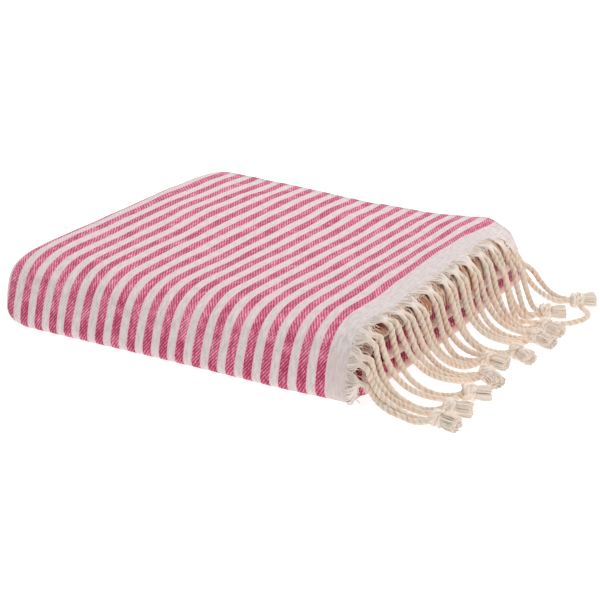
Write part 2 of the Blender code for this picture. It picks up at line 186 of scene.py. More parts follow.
# strands of a fan: even warp, and finer ones over it that run less evenly. Their tone fades towards
# the cord, as painted shade where the fan gathers and turns down over the end
EVEN_WARP = dict(strands=24, radius=0.0008, sides=6, bulge=(-0.0001, 0.0002), sway=0.0006, over=0.0002,
                 tone=(0.82, 1.18), fade=0.46)
LOOSE_WARP = dict(strands=20, radius=0.0004, sides=4, bulge=(0.0004, 0.0011), sway=0.0016, over=0.0006,
                  tone=(0.45, 1.15), fade=0.00)
FAN_SHARE = 0.98  # width of a fan, as a share of the room it has
FAN_BULGE = 0.0006  # of its middle
FAN_CLOSE = (1.15, 1.6)  # how late its strands draw together, and more for outer ones of a hanging fan
COLLAR = (0.0021, 0.0016)  # where they meet: half width past the cords' middles, and height over them
INTO_CORD = ((2, 0.0018), (3, 0.0017), (4, 0.0012))  # points of a cord that they run on to, off its middle
EDGE_MARGIN = 0.0003  # from the outermost strands to the cloth's corners
ROOT_DEPTH = 0.001  # a strand starts this far inside the edge
PAIR_APART = 0.008  # between the two cords of a bundle where they start
CORD_RADIUS = 0.0025
CORD_APART = 0.0049  # middles of two cords that lie side by side
CORD_TAPER = 0.008  # length in which a cord reaches its thickness
SLOT_STEP = 0.0046  # between the cords that enter one knot
# the knots from the front to the back, the tips of their brushes, and the way their cords arrive, in
# degrees from +X. At the last two they come apart on the way: an ease under 1 lets the last cord out
# sooner, apart is added for each cord before, a lag turns them aside later, and turned is how much
# further round the last one arrives
KNOT_NAMES = ("x", "y", "tip_x", "tip_y", "cords", "heading", "ease", "apart", "lag", "turned")
KNOTS = [dict(zip(KNOT_NAMES, values)) for values in (
    (0.235, -0.159, 0.253, -0.162, 2, 10),
    (0.232, -0.137, 0.250, -0.132, 2, 30),
    (0.226, -0.109, 0.248, -0.096, 2, 35),
    (0.226, -0.061, 0.243, -0.074, 3, 25),
    (0.210, -0.036, 0.233, -0.036, 3, 30),
    (0.228, -0.009, 0.244, -0.017, 3, 20),
    (0.223, +0.031, 0.244, +0.024, 3, 30),
    (0.222, +0.055, 0.240, +0.051, 3, 35),
    (0.210, +0.087, 0.224, +0.096, 3, 25, 0.36, 0.20, 1.7, -45),
    (0.220, +0.125, 0.233, +0.138, 2, -20, 0.44, 0.36),
)]
LOOP_AFTER = 21  # one cord of the last knot comes round from between two other knots
LOOP_WAY = ((0.196, 0.064), (0.214, 0.0695), (0.232, 0.079), (0.241, 0.097), (0.238, 0.112))
LOOP_SIDE, LOOP_AHEAD = 0.005, 0.002  # where it enters that knot
# from its fan to its knot: share of a cord's way out, share of the height that is left
CORD_FALL = ((0.08, 0.77), (0.2, 0.49), (0.4, 0.24), (0.68, 0.07))
FALL_UNEVEN = 0.15
LOW_ROOT, HIGH_ROOT = 0.01, 0.05  # heights of the lowest roots and of those on the top
LOW_SWING, HIGH_SWING = 0.5, 1.15  # low roots turn aside to their knots sooner
BEFORE_KNOT = 0.015  # where a cord has reached its place beside the others
INTO_KNOT, INTO_HEIGHT = 0.004, 0.0056  # where it enters the knot
WAY_STEP = 0.0025  # between two points of a cord's way
PUSH_ROUNDS = 60  # rounds in which the cords are pushed clear of each other
PUSH_SHARE = 0.3  # of their overlap in each round,
PUSH_WAYS = (0.3, 1.0, 0.6)  # and less outwards and upwards
CORD_STEP = 0.0009  # between two rings of a cord
CORD_TURN = 2 * pi / 0.0098  # turn of the two plies for each metre of cord
CORD_FACE = dict(sides=18, tone=0.55, plies=2, depth=0.3)
# painted shade: the grooves between the plies of a cord get this lower tone
GROOVE_SHADE = 0.2
KNOT_HEIGHT = 0.0068  # middle of a knot over the floor
# the core of a knot, its face, and the cord that turns round it. Their groove tones are painted shade
KNOT_CORE = dict(half=0.0056, end=0.0064, radius=0.005)
KNOT_FACE = dict(sides=18, tone=0.5, plies=5, depth=0.15, turn=700.0, groove=0.1)
KNOT_CORD = dict(radius=0.0019, sides=12, tone=0.8, plies=2, depth=0.22, turn=CORD_TURN, groove=0.05)
# its turns: place along the knot, lean and radius
KNOT_TURNS = (
    (-0.0019, +0.40, 0.0045),
    (+0.0005, +0.45, 0.0051),
    (+0.0026, +0.36, 0.0044),
    (-0.0004, -0.60, 0.0053),
)
BRUSH_REACH = 0.0165  # from the middle of a knot to the tip of its brush
# its dense heart at both ends: place on from the knot, height and radius
BRUSH_HEART = ((0.002, 0.0063, 0.0046), (0.015, 0.0055, 0.0054))
BRUSH = dict(strands=160, radius=0.00066, start=0.0042, blunt=(-0.001, 0.0003), stray=0.0003,
             tone=(0.50, 0.86), step=0.0026)
BRUSH_ROUND = dict(middle=0.0066, wide=0.0044, high=0.0043)  # where it starts, over the floor
BRUSH_BLUNT = dict(middle=0.006, wide=0.007, high=0.0055)  # and at its tip
BRUSH_FULL = dict(wide=0.0014, high=0.0008)  # halfway it is fuller than straight strands would be
# in each gap between two fans: short curls, and slack warp below. Their darker tones are painted shade
# that fills the gaps
CURLS = dict(count=12, radius=0.00046, spread=0.002, drift=0.005, bend=(0.003, 0.009),
             lift=(-0.0010, 0.0016), reach=(0.004, 0.012), drop=(0.000, 0.008), over=0.0004,
             tone=(0.15, 0.85), step=0.0015)
SLACK = dict(count=26, radius=0.0006, spread=0.42, drift=0.002, under=(0, 0.001), stray=0.0003,
             tone=(0.00, 0.60))
FRONT_SLACK = (0, 3, 12)  # fewer at the front, where the folds show between the fans
LOWEST_GAP = 0.02  # edge length from the floor to the gap below the first fan
# fine hairs on the cords, mostly upwards and outwards
HAIRS = dict(count=240, radius=0.00013, spread=(1, 1, 0.5), lead=(0.3, 0, 0.4), bend=0.0012,
             reach=(0.003, 0.0075))
STRAND_STEP = 0.0018  # between two rings of a loose strand
# tones of the yarn, from the painted shade deep in a groove or a gap to the yarn's own cream at its top
TONE_PLACES = (0.00, 0.2, 0.42, 0.68, 0.95)
WARM_TONES = ("#B8622E", "#D09D7C", "#E5CDB8", "#F4E5D6", "#F4EAE6")
PALE_TONES = ("#B06A3C", "#C8A588", "#DFD1BF", "#F1E8DA", "#F4EAE6")

# ---- camera, as solved from the stripes' perspective
CAMERA_PLACE = (0.7628, -1.204, 0.5186)
CAMERA_RIGHT = (0.85142, 0.52449, 0.0)
CAMERA_UP = (-0.1782, 0.28927, 0.94052)
CAMERA_BACK = (0.49329, -0.80077, 0.33975)
CAMERA_LENS = 105.49


# ---- folds

def smooth(value, low, high):
    """An S-curve: 0 below low and 1 above high."""
    share = np.clip((value - low) / (high - low), 0.0, 1.0)
    return share * share * (3.0 - 2.0 * share)


def quarter(share, fullness):
    """Rise and remaining distance on a quarter of a rounded corner."""
    angle = share * pi / 2
    return sin(angle) ** (2 / fullness), max(cos(angle), 0.0) ** (2 / fullness)


def pack_section():
    """The middle of the cloth across the pack: (x, place in the pack) along the cloth."""
    places = [SOLID_CLOTH / 2 + layer * LAYER_STEP for layer in LAYER_ORDER]
    ends = (BORDER_X - BORDER_DEPTH, LAYER_START)
    section = [(BORDER_X - BORDER_DEPTH * row / BORDER_ROWS, places[0]) for row in range(BORDER_ROWS)]
    for number, (side, inset, reach, points) in enumerate(FOLDS):
        place, following = places[number:number + 2]
        step = OUTER_STEP if number == 0 else INNER_STEP
        stations = np.linspace(*ends, int((ends[0] - ends[1]) / step))
        section += [(x, place) for x in (stations if side < 0 else stations[::-1])]
        start = side * (HALF_LENGTH - SOLID_CLOTH / 2 - inset - reach)
        middle, half = (place + following) / 2, (place - following) / 2
        for angle in np.linspace(0, pi, points + 2):
            section.append((start + side * reach * sin(angle), middle + half * cos(angle)))
    section += [(x, places[-1]) for x in np.linspace(*ends, int((ends[0] - ends[1]) / INNER_STEP))]
    return np.array(section)


def wrap_path():
    """The outer and the inner face of the pack across its width, as (y, z) pairs, the flap inside first."""
    front, back = -HALF_DEPTH, HALF_DEPTH
    flap_low, flap_high = PACK + PACK_GAP, 2 * PACK + PACK_GAP
    top_low = 2 * (PACK + PACK_GAP)
    inner_front = front + PACK
    inner_line = (PACK + top_low) / 2
    fold_y = back - BACK_ROUND
    inside = np.linspace(PANEL_START, INSIDE_END, INSIDE_POINTS)

    def front_at(high):
        return front - TOE_REACH * (1 - smooth(high, 0, TOE_HEIGHT))

    pairs = [((y, flap_high), (y, flap_low)) for y in (inner_front + FLAP_SETBACK, *inside)]
    for share in np.linspace(0, 1, 13):
        rise, reach = cos(pi * share), sin(pi * share)
        pairs.append(((fold_y + BACK_ROUND * reach, flap_high / 2 * (1 + rise)),
                      (fold_y + INNER_ROUND * reach, PACK + PACK_GAP / 2 * (1 + rise))))
    pairs += [((y, 0.0), (y, PACK)) for y in inside[::-1]]
    before_front = len(pairs)
    for share in HEEL_SHARES:
        reach, rest = quarter(share, FRONT_HEEL[1])
        high = FRONT_LINE * (1 - rest)
        pairs.append(((front_at(high) + FRONT_HEEL[0] * (1 - reach), high),
                      (inner_front + INNER_HEEL * (1 - reach), PACK + (inner_line - PACK) * (1 - rest))))
    for share in SHOULDER_SHARES:
        rise, rest = quarter(share, FRONT_SHOULDER[1])
        inner_rise, inner_rest = quarter(share, INNER_FULLNESS)
        high = FRONT_LINE + (PAD_HEIGHT - FRONT_LINE) * rise
        pairs.append(((front_at(high) + FRONT_SHOULDER[0] * (1 - rest), high),
                      (inner_front + (FRONT_SHOULDER[0] - PACK) * (1 - inner_rest),
                       inner_line + (top_low - inner_line) * inner_rise)))
    for y in np.linspace(PANEL_START, PANEL_END, int((PANEL_END - PANEL_START) / TOP_STEP)):
        dip = BACK_DIP * smooth(y, DIP_START, HALF_DEPTH)
        pairs.append(((y, PAD_HEIGHT - dip), (y, top_low - dip)))
    pairs.append(((back, PAD_HEIGHT - BACK_DIP), (back - INNER_BACK, top_low - BACK_DIP)))
    outer, inner = np.array(pairs).transpose(1, 0, 2)
    return outer, inner, before_front


def settle(x, y, z):
    """Turn the even pad into the one that lies there: slanted ends, bowed front, uneven top."""
    along = x / HALF_LENGTH
    left = np.clip(-along, 0, 1) ** 3
    right = np.clip(along, 0, 1) ** 4
    shifted_x = x + LEFT_SLANT * left * (y + HALF_DEPTH - LEFT_PIVOT) / (2 * HALF_DEPTH)
    shifted_x = shifted_x + RIGHT_SLANT * right * smooth(y, *RIGHT_TURN)
    square, cube = FRONT_CURVE
    shifted_y = y + (square * along ** 2 + cube * along ** 3) * np.clip(-y / HALF_DEPTH, 0, 1) ** 2
    toe = smooth(-y, *TOE_Y) * (1 - smooth(z, 0, TOE_HEIGHT)) * smooth(x, *TOE_X)
    shifted_y = shifted_y + TOE_REACH * toe
    line, square, cube = HEIGHT_CURVE
    height = 1 + line * along + square * along ** 2 + cube * along ** 3
    height = height * (1 - CORNER_DROOP * smooth(x, *DROOP_X) * smooth(y, *DROOP_Y))
    rise = 0.0
    for middle_x, middle_y, wide, deep, high in SWELLS:
        away = ((x - middle_x) / wide) ** 2 + ((y - middle_y) / deep) ** 2
        rise = rise + high * np.exp(-away)
    for middle_x, middle_y, degrees, long, wide, high in CREASES:
        turn = radians(degrees)
        along = (x - middle_x) * cos(turn) + (y - middle_y) * sin(turn)
        across = (y - middle_y) * cos(turn) - (x - middle_x) * sin(turn)
        away = (along / long) ** 2 + (across / wide) ** 2
        rise = rise + high * np.exp(-away) * smooth(z, 0.6 * PAD_HEIGHT, PAD_HEIGHT)
    lifted = z - SOLID_CLOTH / 2
    return shifted_x, shifted_y, SOLID_CLOTH / 2 + lifted * height + rise * lifted / PAD_HEIGHT


def unit(vectors):
    return vectors / np.linalg.norm(vectors, axis=-1, keepdims=True)


def walked(points):
    """Length from the first point to each of the others along the line through them."""
    return np.concatenate([[0.0], np.cumsum(np.linalg.norm(np.diff(points, axis=0), axis=-1))])


def pattern_place(length):
    """Place in the even stripe pattern at a length of cloth: the weft lies looser near the border."""
    past = length - FIRST_STRIPE
    loose = np.clip(past, 0, LOOSE_LENGTH)
    stripes = LOOSE_PITCH[0] * loose + LOOSE_PITCH[1] * loose ** 2
    return np.minimum(length, FIRST_STRIPE) + STRIPE_PITCH * stripes + np.clip(past - LOOSE_LENGTH, 0, None)


def comes_in(along, bend):
    """How far a bend has shifted the stripes at each length of cloth."""
    shift, start, end = bend
    return shift * smooth(along, start, end)


def skewed(along, across, before_front):
    """The stripes of the top run a little askew, and bend where the cloth turns under at the left end."""
    along = along[:, None]
    back = smooth(across, across[before_front], across[-1] - BEND_BACK)[None, :]
    past = np.clip(across - across[-1] + LEAN_START, 0, None)[None, :]
    bend = comes_in(along, LEFT_BEND) + comes_in(along, LEFT_BACK_BEND) * back + comes_in(along, NEXT_BEND)
    bend = bend + LEAN * past ** 2 / (past + LEAN_SOFT) * (1 - 0.8 * smooth(along, *LEAN_LEFT))
    bend = bend + (FIRST_BEND[0] - comes_in(along, FIRST_BEND)) * smooth(past, 0, FIRST_BEND_IN)
    inside = smooth(along, *INSIDE_FROM)
    return along - bend * (1 - inside) - INSIDE_SHIFT * inside


class Cloth:
    """The sheet's middle, its outward direction and its place in the flat cloth."""

    def __init__(self):
        section = pack_section()
        outer, inner, self.before_front = wrap_path()
        share = (section[:, 1] / PACK)[:, None, None]
        y, z = np.moveaxis(outer * (1 - share) + inner * share, -1, 0)
        x = np.broadcast_to(section[:, :1], y.shape)
        self.middle = np.stack(settle(x, y, z), axis=-1)
        self.along = walked(section)
        self.across = walked(outer)
        length = self.along[:, None]
        hidden = smooth(length, *OUTER_ENDS) * smooth(z, PACK, 2 * PACK)
        self.middle[..., 0] -= TUCK * hidden * smooth(x, *TUCK_X) * smooth(y, *TUCK_Y)
        seen = (1 - smooth(length, *HANG_ENDS)) * smooth(z, 0.6 * PAD_HEIGHT, 0.9 * PAD_HEIGHT)
        self.middle[..., 2] -= CORNER_HANG * seen * smooth(x, *HANG_X) * smooth(y, *HANG_Y)
        normal = unit(np.cross(np.gradient(self.middle, axis=0), np.gradient(self.middle, axis=1)))
        self.normal = normal if normal[0, -1, 2] > 0 else -normal
        self.middle = self.middle + self.normal * self.unevenness()[..., None]

    def unevenness(self):
        """Uneven height of the cloth: slow waves, and puckers along the fringed edge."""
        along, across = np.meshgrid(self.along, self.across, indexing="ij")
        height = np.zeros_like(along)
        for long, wide, begin, high in WAVES:
            height += high * np.sin(2 * pi * (along / long + across / wide) + begin)
        start = self.across[self.before_front] + FIRST_BUNDLE
        pucker = np.cos(2 * pi * (across - start) / BUNDLE_STEP)
        height *= smooth(self.middle[..., 2], *CALM)
        return height + (GATHER_HEIGHT * pucker * np.exp(-along / GATHER_REACH)
                         * smooth(across, start, start + 0.01))


# ---- meshes

class Piece:
    """Points, quads, end caps, UV places and the lie of each point, gathered into one mesh.

    The lie of the cloth says how flat it lies, which its material also uses for painted light and
    shade, and that of a strand is its tone, which carries painted shade in grooves and gaps.
    """

    def __init__(self):
        self.points, self.quads, self.quad_uv, self.caps, self.lie = [], [], [], [], []
        self.count = 0

    def grid(self, points, uv, lie, closed=False):
        """A grid of points as quads. A closed one joins its last column to its first."""
        rows, columns = points.shape[:2]
        number = self.count + np.arange(rows * columns).reshape(rows, columns)
        if closed:
            number = np.concatenate([number, number[:, :1]], axis=1)
        self.points.append(points.reshape(-1, 3))
        self.lie.append(np.broadcast_to(lie, (rows, columns)).reshape(-1))
        self.count += rows * columns
        for values, quads in ((number, self.quads), (uv, self.quad_uv)):
            corners = (values[:-1, :-1], values[1:, :-1], values[1:, 1:], values[:-1, 1:])
            quads.append(np.stack(corners, axis=2).reshape(-1, 4, *values.shape[2:]))
        return number

    def tube(self, path, radius, sides, tone, plies=0, depth=0.0, turn=0.0, start=0.0, groove=0.0):
        """A strand along a path, of one tone. Plies part it by grooves, which are painted in a darker tone
        of their own, as painted shade.
        """
        path = np.asarray(path, float)
        radius = np.broadcast_to(radius, len(path))[:, None]
        side, up = carried_frame(path)
        length = walked(path)[:, None]
        angle = np.linspace(0, 2 * pi, sides, endpoint=False)[None]
        phase = angle + start - turn * length
        rise = np.abs(np.cos(plies / 2 * phase)) ** 0.45 if plies else np.ones_like(phase)
        reach = radius * (1 - depth * (1 - rise))
        direction = side[:, None] * np.cos(angle)[..., None] + up[:, None] * np.sin(angle)[..., None]
        points = path[:, None] + direction * reach[..., None]
        points[..., 2] = np.maximum(points[..., 2], FLOOR_GAP)
        closing = np.concatenate([phase, phase[:, :1] + 2 * pi], axis=1) / (2 * pi)
        uv = np.stack(np.broadcast_arrays(length, closing), axis=-1)
        number = self.grid(points, uv, groove + (tone - groove) * rise, closed=True)
        self.caps += [number[0, :-1], number[-1, -2::-1]]

    def build(self, name, finish):
        points = np.concatenate(self.points)
        quads = np.concatenate(self.quads)
        sizes = np.array([4] * len(quads) + [len(cap) for cap in self.caps])
        corners = np.concatenate([quads.reshape(-1), *self.caps])
        uv = np.zeros((len(corners), 2))
        uv[:quads.size] = np.concatenate(self.quad_uv).reshape(-1, 2)
        mesh = bpy.data.meshes.new(name)
        mesh.vertices.add(len(points))
        mesh.vertices.foreach_set("co", points.astype(np.float32).reshape(-1))
        mesh.loops.add(len(corners))
        mesh.loops.foreach_set("vertex_index", corners.astype(np.int32))
        mesh.polygons.add(len(sizes))
        mesh.polygons.foreach_set("loop_start", (np.cumsum(sizes) - sizes).astype(np.int32))
        mesh.polygons.foreach_set("use_smooth", np.ones(len(sizes), dtype=bool))
        mesh.update(calc_edges=True)
        layer = mesh.uv_layers.new(name="place")
        layer.uv.foreach_set("vector", uv.astype(np.float32).reshape(-1))
        height = mesh.attributes.new("lie", "FLOAT", "POINT")
        height.data.foreach_set("value", np.concatenate(self.lie).astype(np.float32))
        mesh.validate()
        mesh.materials.append(finish)
        return new_object(name, mesh)


def new_object(name, data):
    made = bpy.data.objects.new(name, data)
    bpy.context.scene.collection.objects.link(made)
    return made


def carried_frame(path):
    """Two directions across a path at each of its points, carried along it without twist."""
    forward = unit(np.gradient(path, axis=0))
    side = np.empty_like(path)
    first = UP if abs(forward[0, 2]) < 0.9 else np.array([0.0, 1.0, 0.0])
    for number, ahead in enumerate(forward):
        first = first - ahead * np.dot(first, ahead)
        first = first / np.linalg.norm(first)
        side[number] = first
    return side, np.cross(forward, side)


def curve_through(points, step):
    """A smooth curve through the points, at even steps."""
    points = [np.array(point, float) for point in points]
    ends = [2 * points[0] - points[1]] + points + [2 * points[-1] - points[-2]]
    dense = []
    for before, here, there, after in zip(ends, ends[1:], ends[2:], ends[3:]):
        for share in np.linspace(0, 1, 12, endpoint=False):
            dense.append(0.5 * (2 * here + (there - before) * share
                                + (2 * before - 5 * here + 4 * there - after) * share ** 2
                                + (3 * here - before - 3 * there + after) * share ** 3))
    dense = np.array(dense + [points[-1]])
    length = walked(dense)
    even = np.linspace(0, length[-1], max(int(round(length[-1] / step)), 2) + 1)
    return np.stack([np.interp(even, length, dense[:, axis]) for axis in range(3)], axis=-1)


# ---- materials

def linear(colour):
    """An sRGB hex colour as linear red, green, blue and alpha."""
    values = [int(colour[place:place + 2], 16) / 255 for place in (1, 3, 5)]
    return (*[v / 12.92 if v <= 0.04045 else ((v + 0.055) / 1.055) ** 2.4 for v in values], 1.0)


def plug(made, inputs):
    """Fill a node's inputs, by name or in order, with values, hex colours or other nodes' outputs."""
    for socket, value in inputs.items() if isinstance(inputs, dict) else enumerate(inputs):
        if isinstance(value, bpy.types.NodeSocket):
            made.id_data.links.new(value, made.inputs[socket])
        else:
            made.inputs[socket].default_value = linear(value) if isinstance(value, str) else value


def add(tree, kind, inputs=(), output=0, stops=(), **settings):
    """Add a node with its settings and links, and give its output. Stops are those of a colour ramp."""
    made = tree.nodes.new("ShaderNode" + kind)
    for name, value in settings.items():
        setattr(made, name, value)
    plug(made, inputs)
    if stops:
        marks = made.color_ramp.elements
        while len(marks) < len(stops):
            marks.new(0.5)
        for mark, (place, colour) in zip(marks, stops):
            mark.position = place
            mark.color = linear(colour)
    return made.outputs[output]


def new_material(name):
    """A material, its shader, and the function that adds a node to it."""
    made = bpy.data.materials.new(name)
    made.use_nodes = True
    return made, made.node_tree.nodes["Principled BSDF"], partial(add, made.node_tree)


def total(node, start, *shares):
    """A number and patterns added up, each pattern times its share."""
    for pattern, share in shares:
        start = node("Math", (pattern, share, start), operation="MULTIPLY_ADD")
    return start


def striped_cotton():
    """Yarn-dyed cotton, woven in a light twill: raspberry weft over undyed warp, white between.

    To the eye it is matt and a little fuzzy. The undyed warp shows through the raspberry as fine
    diagonal flecks, and where the cloth lies flat as short lines across them. The real twill repeats
    each 0.9 mm. It is drawn at 3.4 and 4 mm, the finest that still shows.
    """
    made, shader, node = new_material("yarn_dyed_cotton_twill")
    soft = dict(interpolation_type="SMOOTHSTEP")
    place = node("UVMap", uv_map="place")
    flat = node("Attribute", output="Fac", attribute_name="lie")
    along = node("SeparateXYZ", (place,), "X")
    across = along.node.outputs["Y"]
    spots = {}
    for name, (*each_way, detail) in WEAVE_SPOTS.items():
        stretched = node("Mapping", {"Vector": place, "Scale": (*each_way, 1)})
        spots[name] = node("TexNoise", {"Vector": stretched, "Scale": 1, "Detail": detail},
                           noise_dimensions="2D")

    # how far from the middle of a raspberry stripe, in stripes, with ragged edges
    ragged = total(node, -EDGE_WANDER / 2 - FIRST_STRIPE, (along, 1), (spots["edges"], EDGE_WANDER))
    beat = node("Math", (ragged, STRIPE_PITCH), operation="DIVIDE")
    away = node("Math", (beat, 0.5), operation="PINGPONG")
    inside = node("MapRange", (away, 0.25 - EDGE_SOFT, 0.25 + EDGE_SOFT, 1, 0), **soft)
    beyond = node("MapRange", (away, 0.25, 0.36, 0.88, 0), **soft)
    starting = node("MapRange", (along, WHITE_BORDER - 0.0004, WHITE_BORDER + 0.0004), **soft)
    striped = node("MapRange", (along, WHITE_BORDER - 0.0016, WHITE_BORDER), **soft)
    plain = node("MapRange", (along, WHITE_BORDER - 0.0016, WHITE_BORDER, 1, 0), **soft)

    # the lines of the twill on standing and on lying cloth, and fainter ones on the border
    lines = []
    for step, run, rise in WEAVE_LINES:
        turn = 2 * pi / step
        phase = total(node, 0, (along, run * turn), (across, rise * turn), (spots["wander"], 2.4))
        wave = node("Math", (phase,), operation="SINE")
        lines.append(node("MapRange", (wave, -0.6, 0.6), **soft))
    lying = node("MapRange", (flat, 0.35, 0.85, 0.12, 0.88), **soft)
    woven = node("Mix", {"Factor": lying, "A": lines[0], "B": lines[1]}, "Result")
    depth = node("MapRange", (along, WHITE_BORDER - 0.0030, WHITE_BORDER, 0.25, 1), **soft)
    twill = node("Math", (woven, depth), operation="MULTIPLY")

    # painted light and shade: the raspberry is lighter where the cloth faces upwards, and a little darker
    # again where it lies flat
    turned = node("MapRange", (flat, 0.15, 0.45), **soft)
    level = node("MapRange", (flat, 0.85, 0.98), **soft)
    tone = total(node, -1.03, (twill, 0.48), (spots["flecks"], 0.60), (spots["slubs"], 0.90),
                 (spots["patches"], 0.60), (turned, 0.140), (level, -0.080))
    raspberry = node("ValToRGB", (tone,), stops=(
        (0.00, "#A02248"), (0.30, "#CA5077"), (0.55, "#E67F9F"), (0.90, "#FDC2D5")))
    pale = total(node, -0.24, (twill, 0.16), (spots["flecks"], 0.30), (spots["slubs"], 1))
    colour = node("ValToRGB", (pale,), stops=((0.20, "#CFC6C1"), (0.50, "#E4DAD7"), (0.80, "#F1E8E7")))
    upright = node("MapRange", (flat, 0.2, 0.7, 0.42, 0), **soft)
    tints = (
        # painted warm light from the table on the standing border
        (node("Math", (upright, plain), operation="MULTIPLY"), "#DCC4C2"),  # the standing border is warmer
        # painted shade: cloth that lies flat is painted greyer
        (node("MapRange", (flat, 0.80, 0.97, 0, 0.26), **soft), "#C9BFBF"),  # and lying cloth is greyer
        (node("Math", (beyond, striped), operation="MULTIPLY"), "#F6C3CF"),  # pink fibres beside the stripes
        # painted warm shade of the folds on the hidden layers
        (node("MapRange", (along, 0.38, 0.46, 0, 0.65), **soft), "#E2BBA6"),  # warm shade on hidden layers
        (node("Math", (inside, starting), operation="MULTIPLY"), raspberry),
    )
    for share, tint in tints:
        colour = node("Mix", {"Factor": share, "A": colour, "B": tint}, "Result", data_type="RGBA")
    relief = total(node, 0, (twill, 0.5), (spots["flecks"], 0.8))
    bump = node("Bump", {"Height": relief, "Strength": 0.55, "Distance": 0.0003})
    plug(shader, {"Base Color": colour, "Normal": bump, "Roughness": 0.93, "IOR": 1.46,
                  "Sheen Weight": 0.30, "Sheen Roughness": 0.5, "Sheen Tint": "#F4EAF2"})
    return made


def twisted_cotton():
    """Undyed cotton warp, ring-spun and twisted by hand into cords.

    To the eye it is cream and quite matt. Deep between the yarns and in the gaps it is painted warm
    brown, as painted shade. Patches of it are a little greyer. The fibres show as fine lines along
    each yarn, drawn about 6 mm long.
    """
    made, shader, node = new_material("undyed_twisted_cotton")
    place = node("UVMap", uv_map="place")
    lie = node("Attribute", output="Fac", attribute_name="lie")
    solid = node("TexCoord", output="Object")
    stretched = node("Mapping", {"Vector": place, "Scale": (175, 24.5, 1)})
    fibres = node("TexNoise", {"Vector": stretched, "Scale": 1, "Detail": 2}, noise_dimensions="2D")
    blotches = node("TexNoise", {"Vector": solid, "Scale": 140, "Detail": 3})
    patches = node("TexNoise", {"Vector": solid, "Scale": 85, "Detail": 2})
    # low values of the lie give the painted shade of grooves and gaps; fibres and blotches vary it at random
    level = total(node, -0.36, (lie, 1), (fibres, 0.35), (blotches, 0.40))
    warm, pale = (node("ValToRGB", (level,), stops=[*zip(TONE_PLACES, tones)])
                  for tones in (WARM_TONES, PALE_TONES))
    greyer = node("MapRange", (patches, 0.42, 0.60), interpolation_type="SMOOTHSTEP")
    colour = node("Mix", {"Factor": greyer, "A": warm, "B": pale}, "Result", data_type="RGBA")
    bump = node("Bump", {"Height": fibres, "Strength": 0.6, "Distance": 0.0003})
    plug(shader, {"Base Color": colour, "Normal": bump, "Roughness": 0.95, "IOR": 1.46,
                  "Sheen Weight": 0.15})
    return made


def matt_floor():
    """A plain pale matt table, lit a little from below, as in a studio, so that shadows stay faint."""
    made, shader, _ = new_material("matt_floor")
    plug(shader, {"Base Color": "#A8A6A4", "Roughness": 0.9,
                  "Emission Color": "#FFFFFF", "Emission Strength": 0.84})
    return made


# ---- cloth

def rim(grid):
    """The outermost entries of a grid, once round."""
    return np.concatenate([grid[:-1, 0], grid[-1, :-1], grid[:0:-1, -1], grid[0, :0:-1]])


def weave_cloth(cloth, finish):
    """The folded cloth as one thin sheet with two sides and four closed edges."""
    piece = Piece()
    along = skewed(pattern_place(cloth.along), cloth.across, cloth.before_front)
    uv = np.stack(np.broadcast_arrays(along, cloth.across[None, :]), axis=-1)
    lift = cloth.normal * CLOTH / 2
    flat = np.clip(cloth.normal[..., 2], 0, 1)
    upper = piece.grid(cloth.middle + lift, uv, flat)
    lower = piece.grid((cloth.middle - lift)[:, ::-1], uv[:, ::-1], flat[:, ::-1])[:, ::-1]
    above, below, places = rim(upper), rim(lower), rim(uv)
    following = np.roll(places, -1, axis=0)
    piece.quads.append(np.stack([np.roll(above, -1), above, below, np.roll(below, -1)], axis=-1))
    piece.quad_uv.append(np.stack([following, places, places, following], axis=1))
    return piece.build("woven_cloth", finish)


# ---- fringe

def border_edge(cloth):
    """The fringed edge: what gives its point and its ways out and up at a length, and its whole length."""
    points = cloth.middle[0, cloth.before_front:]
    outward = unit(points - cloth.middle[2, cloth.before_front:])
    up = cloth.normal[1, cloth.before_front:]
    length = walked(points)

    def at(distance):
        place, out, over = (np.array([np.interp(distance, length, values[:, axis]) for axis in range(3)])
                            for values in (points, outward, up))
        return place, unit(out), unit(over)

    return at, length[-1]


def cord_plan():
    """For each cord from the front to the back: its knot, and its place among the knot's cords."""
    plan = [(knot, place) for knot in KNOTS for place in range(knot["cords"])]
    plan.insert(LOOP_AFTER, (KNOTS[-1], None))
    return plan


def knot_directions(knot):
    """Middle of a knot on the floor, the way its brush points, and the way across."""
    tip = np.array([knot["tip_x"], knot["tip_y"], 0.0])
    ahead = unit(tip - np.array([knot["x"], knot["y"], 0.0]))
    return tip - ahead * BRUSH_REACH, ahead, np.cross(UP, ahead)


def bundle_place(bundle):
    """Edge length from the floor to a bundle. They are a little uneven, and the first ones hang higher."""
    drawn = FRONT_GATHER * 0.4 ** bundle
    return FIRST_BUNDLE + bundle * BUNDLE_STEP + UNEVEN_STEP * sin(2.1 * bundle) + drawn


def fan_line(root, out, shape=FAN_SHAPE):
    """The way of a strand over the end of the pad, from its root in the border."""
    share = np.clip(root[2] / FAN_HEIGHT, 0, 1) * (0.25 + 0.75 * smooth(root[1], *FAN_FRONT))
    return np.array([root + out * reach - UP * drop * share for reach, drop in shape])


def pair_aside(out, over):
    """The direction from the first cord of a bundle to its second, which lies nearer the back."""
    aside = unit(np.cross(over, out))
    return aside if aside[1] + aside[2] > 0 else -aside


